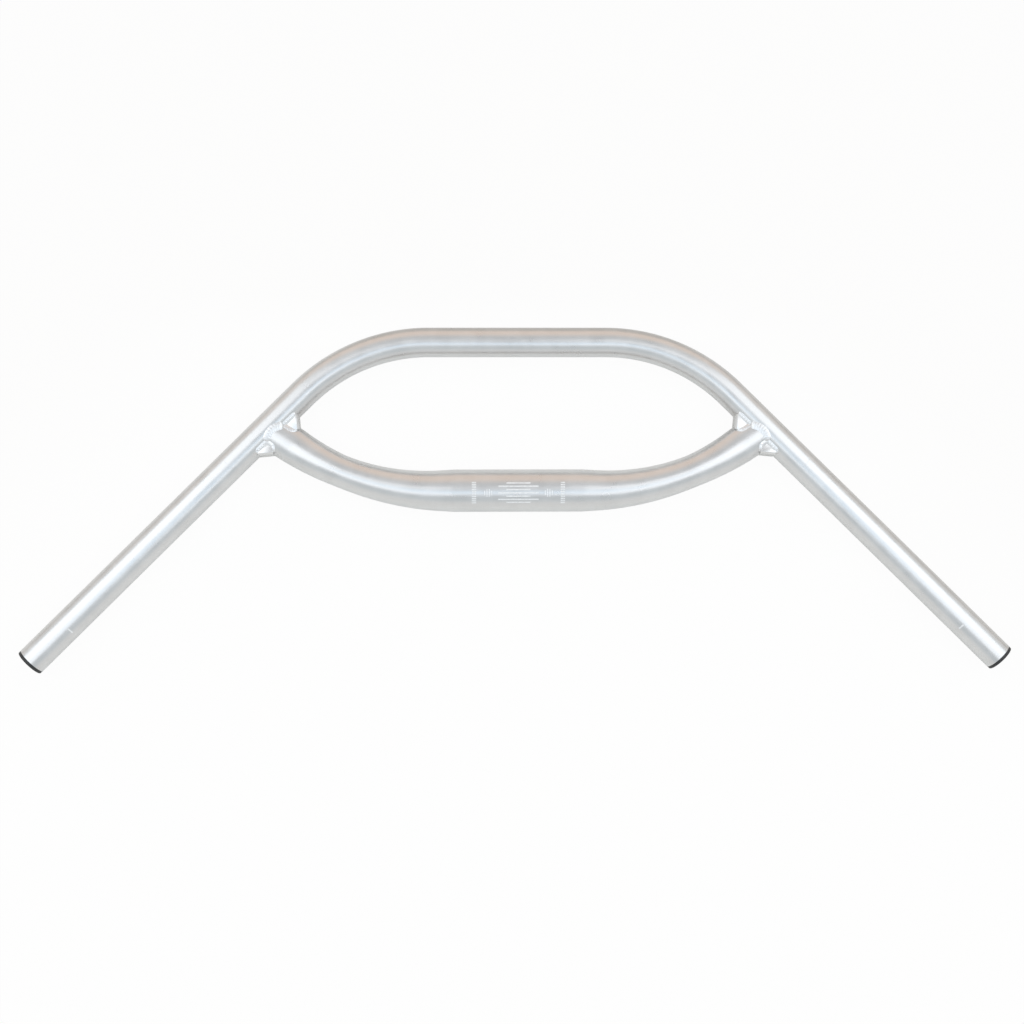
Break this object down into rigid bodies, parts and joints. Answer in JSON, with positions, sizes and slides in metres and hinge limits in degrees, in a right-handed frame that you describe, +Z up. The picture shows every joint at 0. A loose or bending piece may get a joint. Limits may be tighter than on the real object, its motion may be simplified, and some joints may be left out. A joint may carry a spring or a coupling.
{
  "type": "bicycle handlebar",
  "caption": "Loop handlebar: a bent tube makes a closed loop ahead of the stem clamp and two swept-back grips, welded to a tapered crossbar.",
  "frame": {"origin": "middle of the stem clamp, on its axis", "axes": "+X to the rider's right along the stem clamp, +Y forward to the loop, +Z up"},
  "size_m": [0.7392, 0.2584, 0.0318],
  "materials": {
    "tube": "satin, bead blasted",
    "block": "satin, bead blasted",
    "weld": "satin, rippled bead",
    "plug": "moulded, semi-matt"
  },
  "bodies": {
    "bar": {"loop_tube": "tube", "crossbar_tube": "tube", "inner_gusset_left": "block", "inner_gusset_right": "block", "rear_gusset_left": "block", "rear_gusset_right": "block", "joint_weld_left": "weld", "joint_weld_right": "weld", "inner_gusset_weld_left": "weld", "inner_gusset_weld_right": "weld", "rear_gusset_weld_left": "weld", "rear_gusset_weld_right": "weld"},
    "left_plug": {"end_plug_left": "plug"},
    "right_plug": {"end_plug_right": "plug"}
  },
  "joints": [
    {"name": "left_plug_pull", "type": "slide", "parent": "bar", "child": "left_plug", "axis": [-0.7071, -0.7071, 0], "range_m": [0, 0.03]},
    {"name": "right_plug_pull", "type": "slide", "parent": "bar", "child": "right_plug", "axis": [0.7071, -0.7071, 0], "range_m": [0, 0.03]}
  ]
}
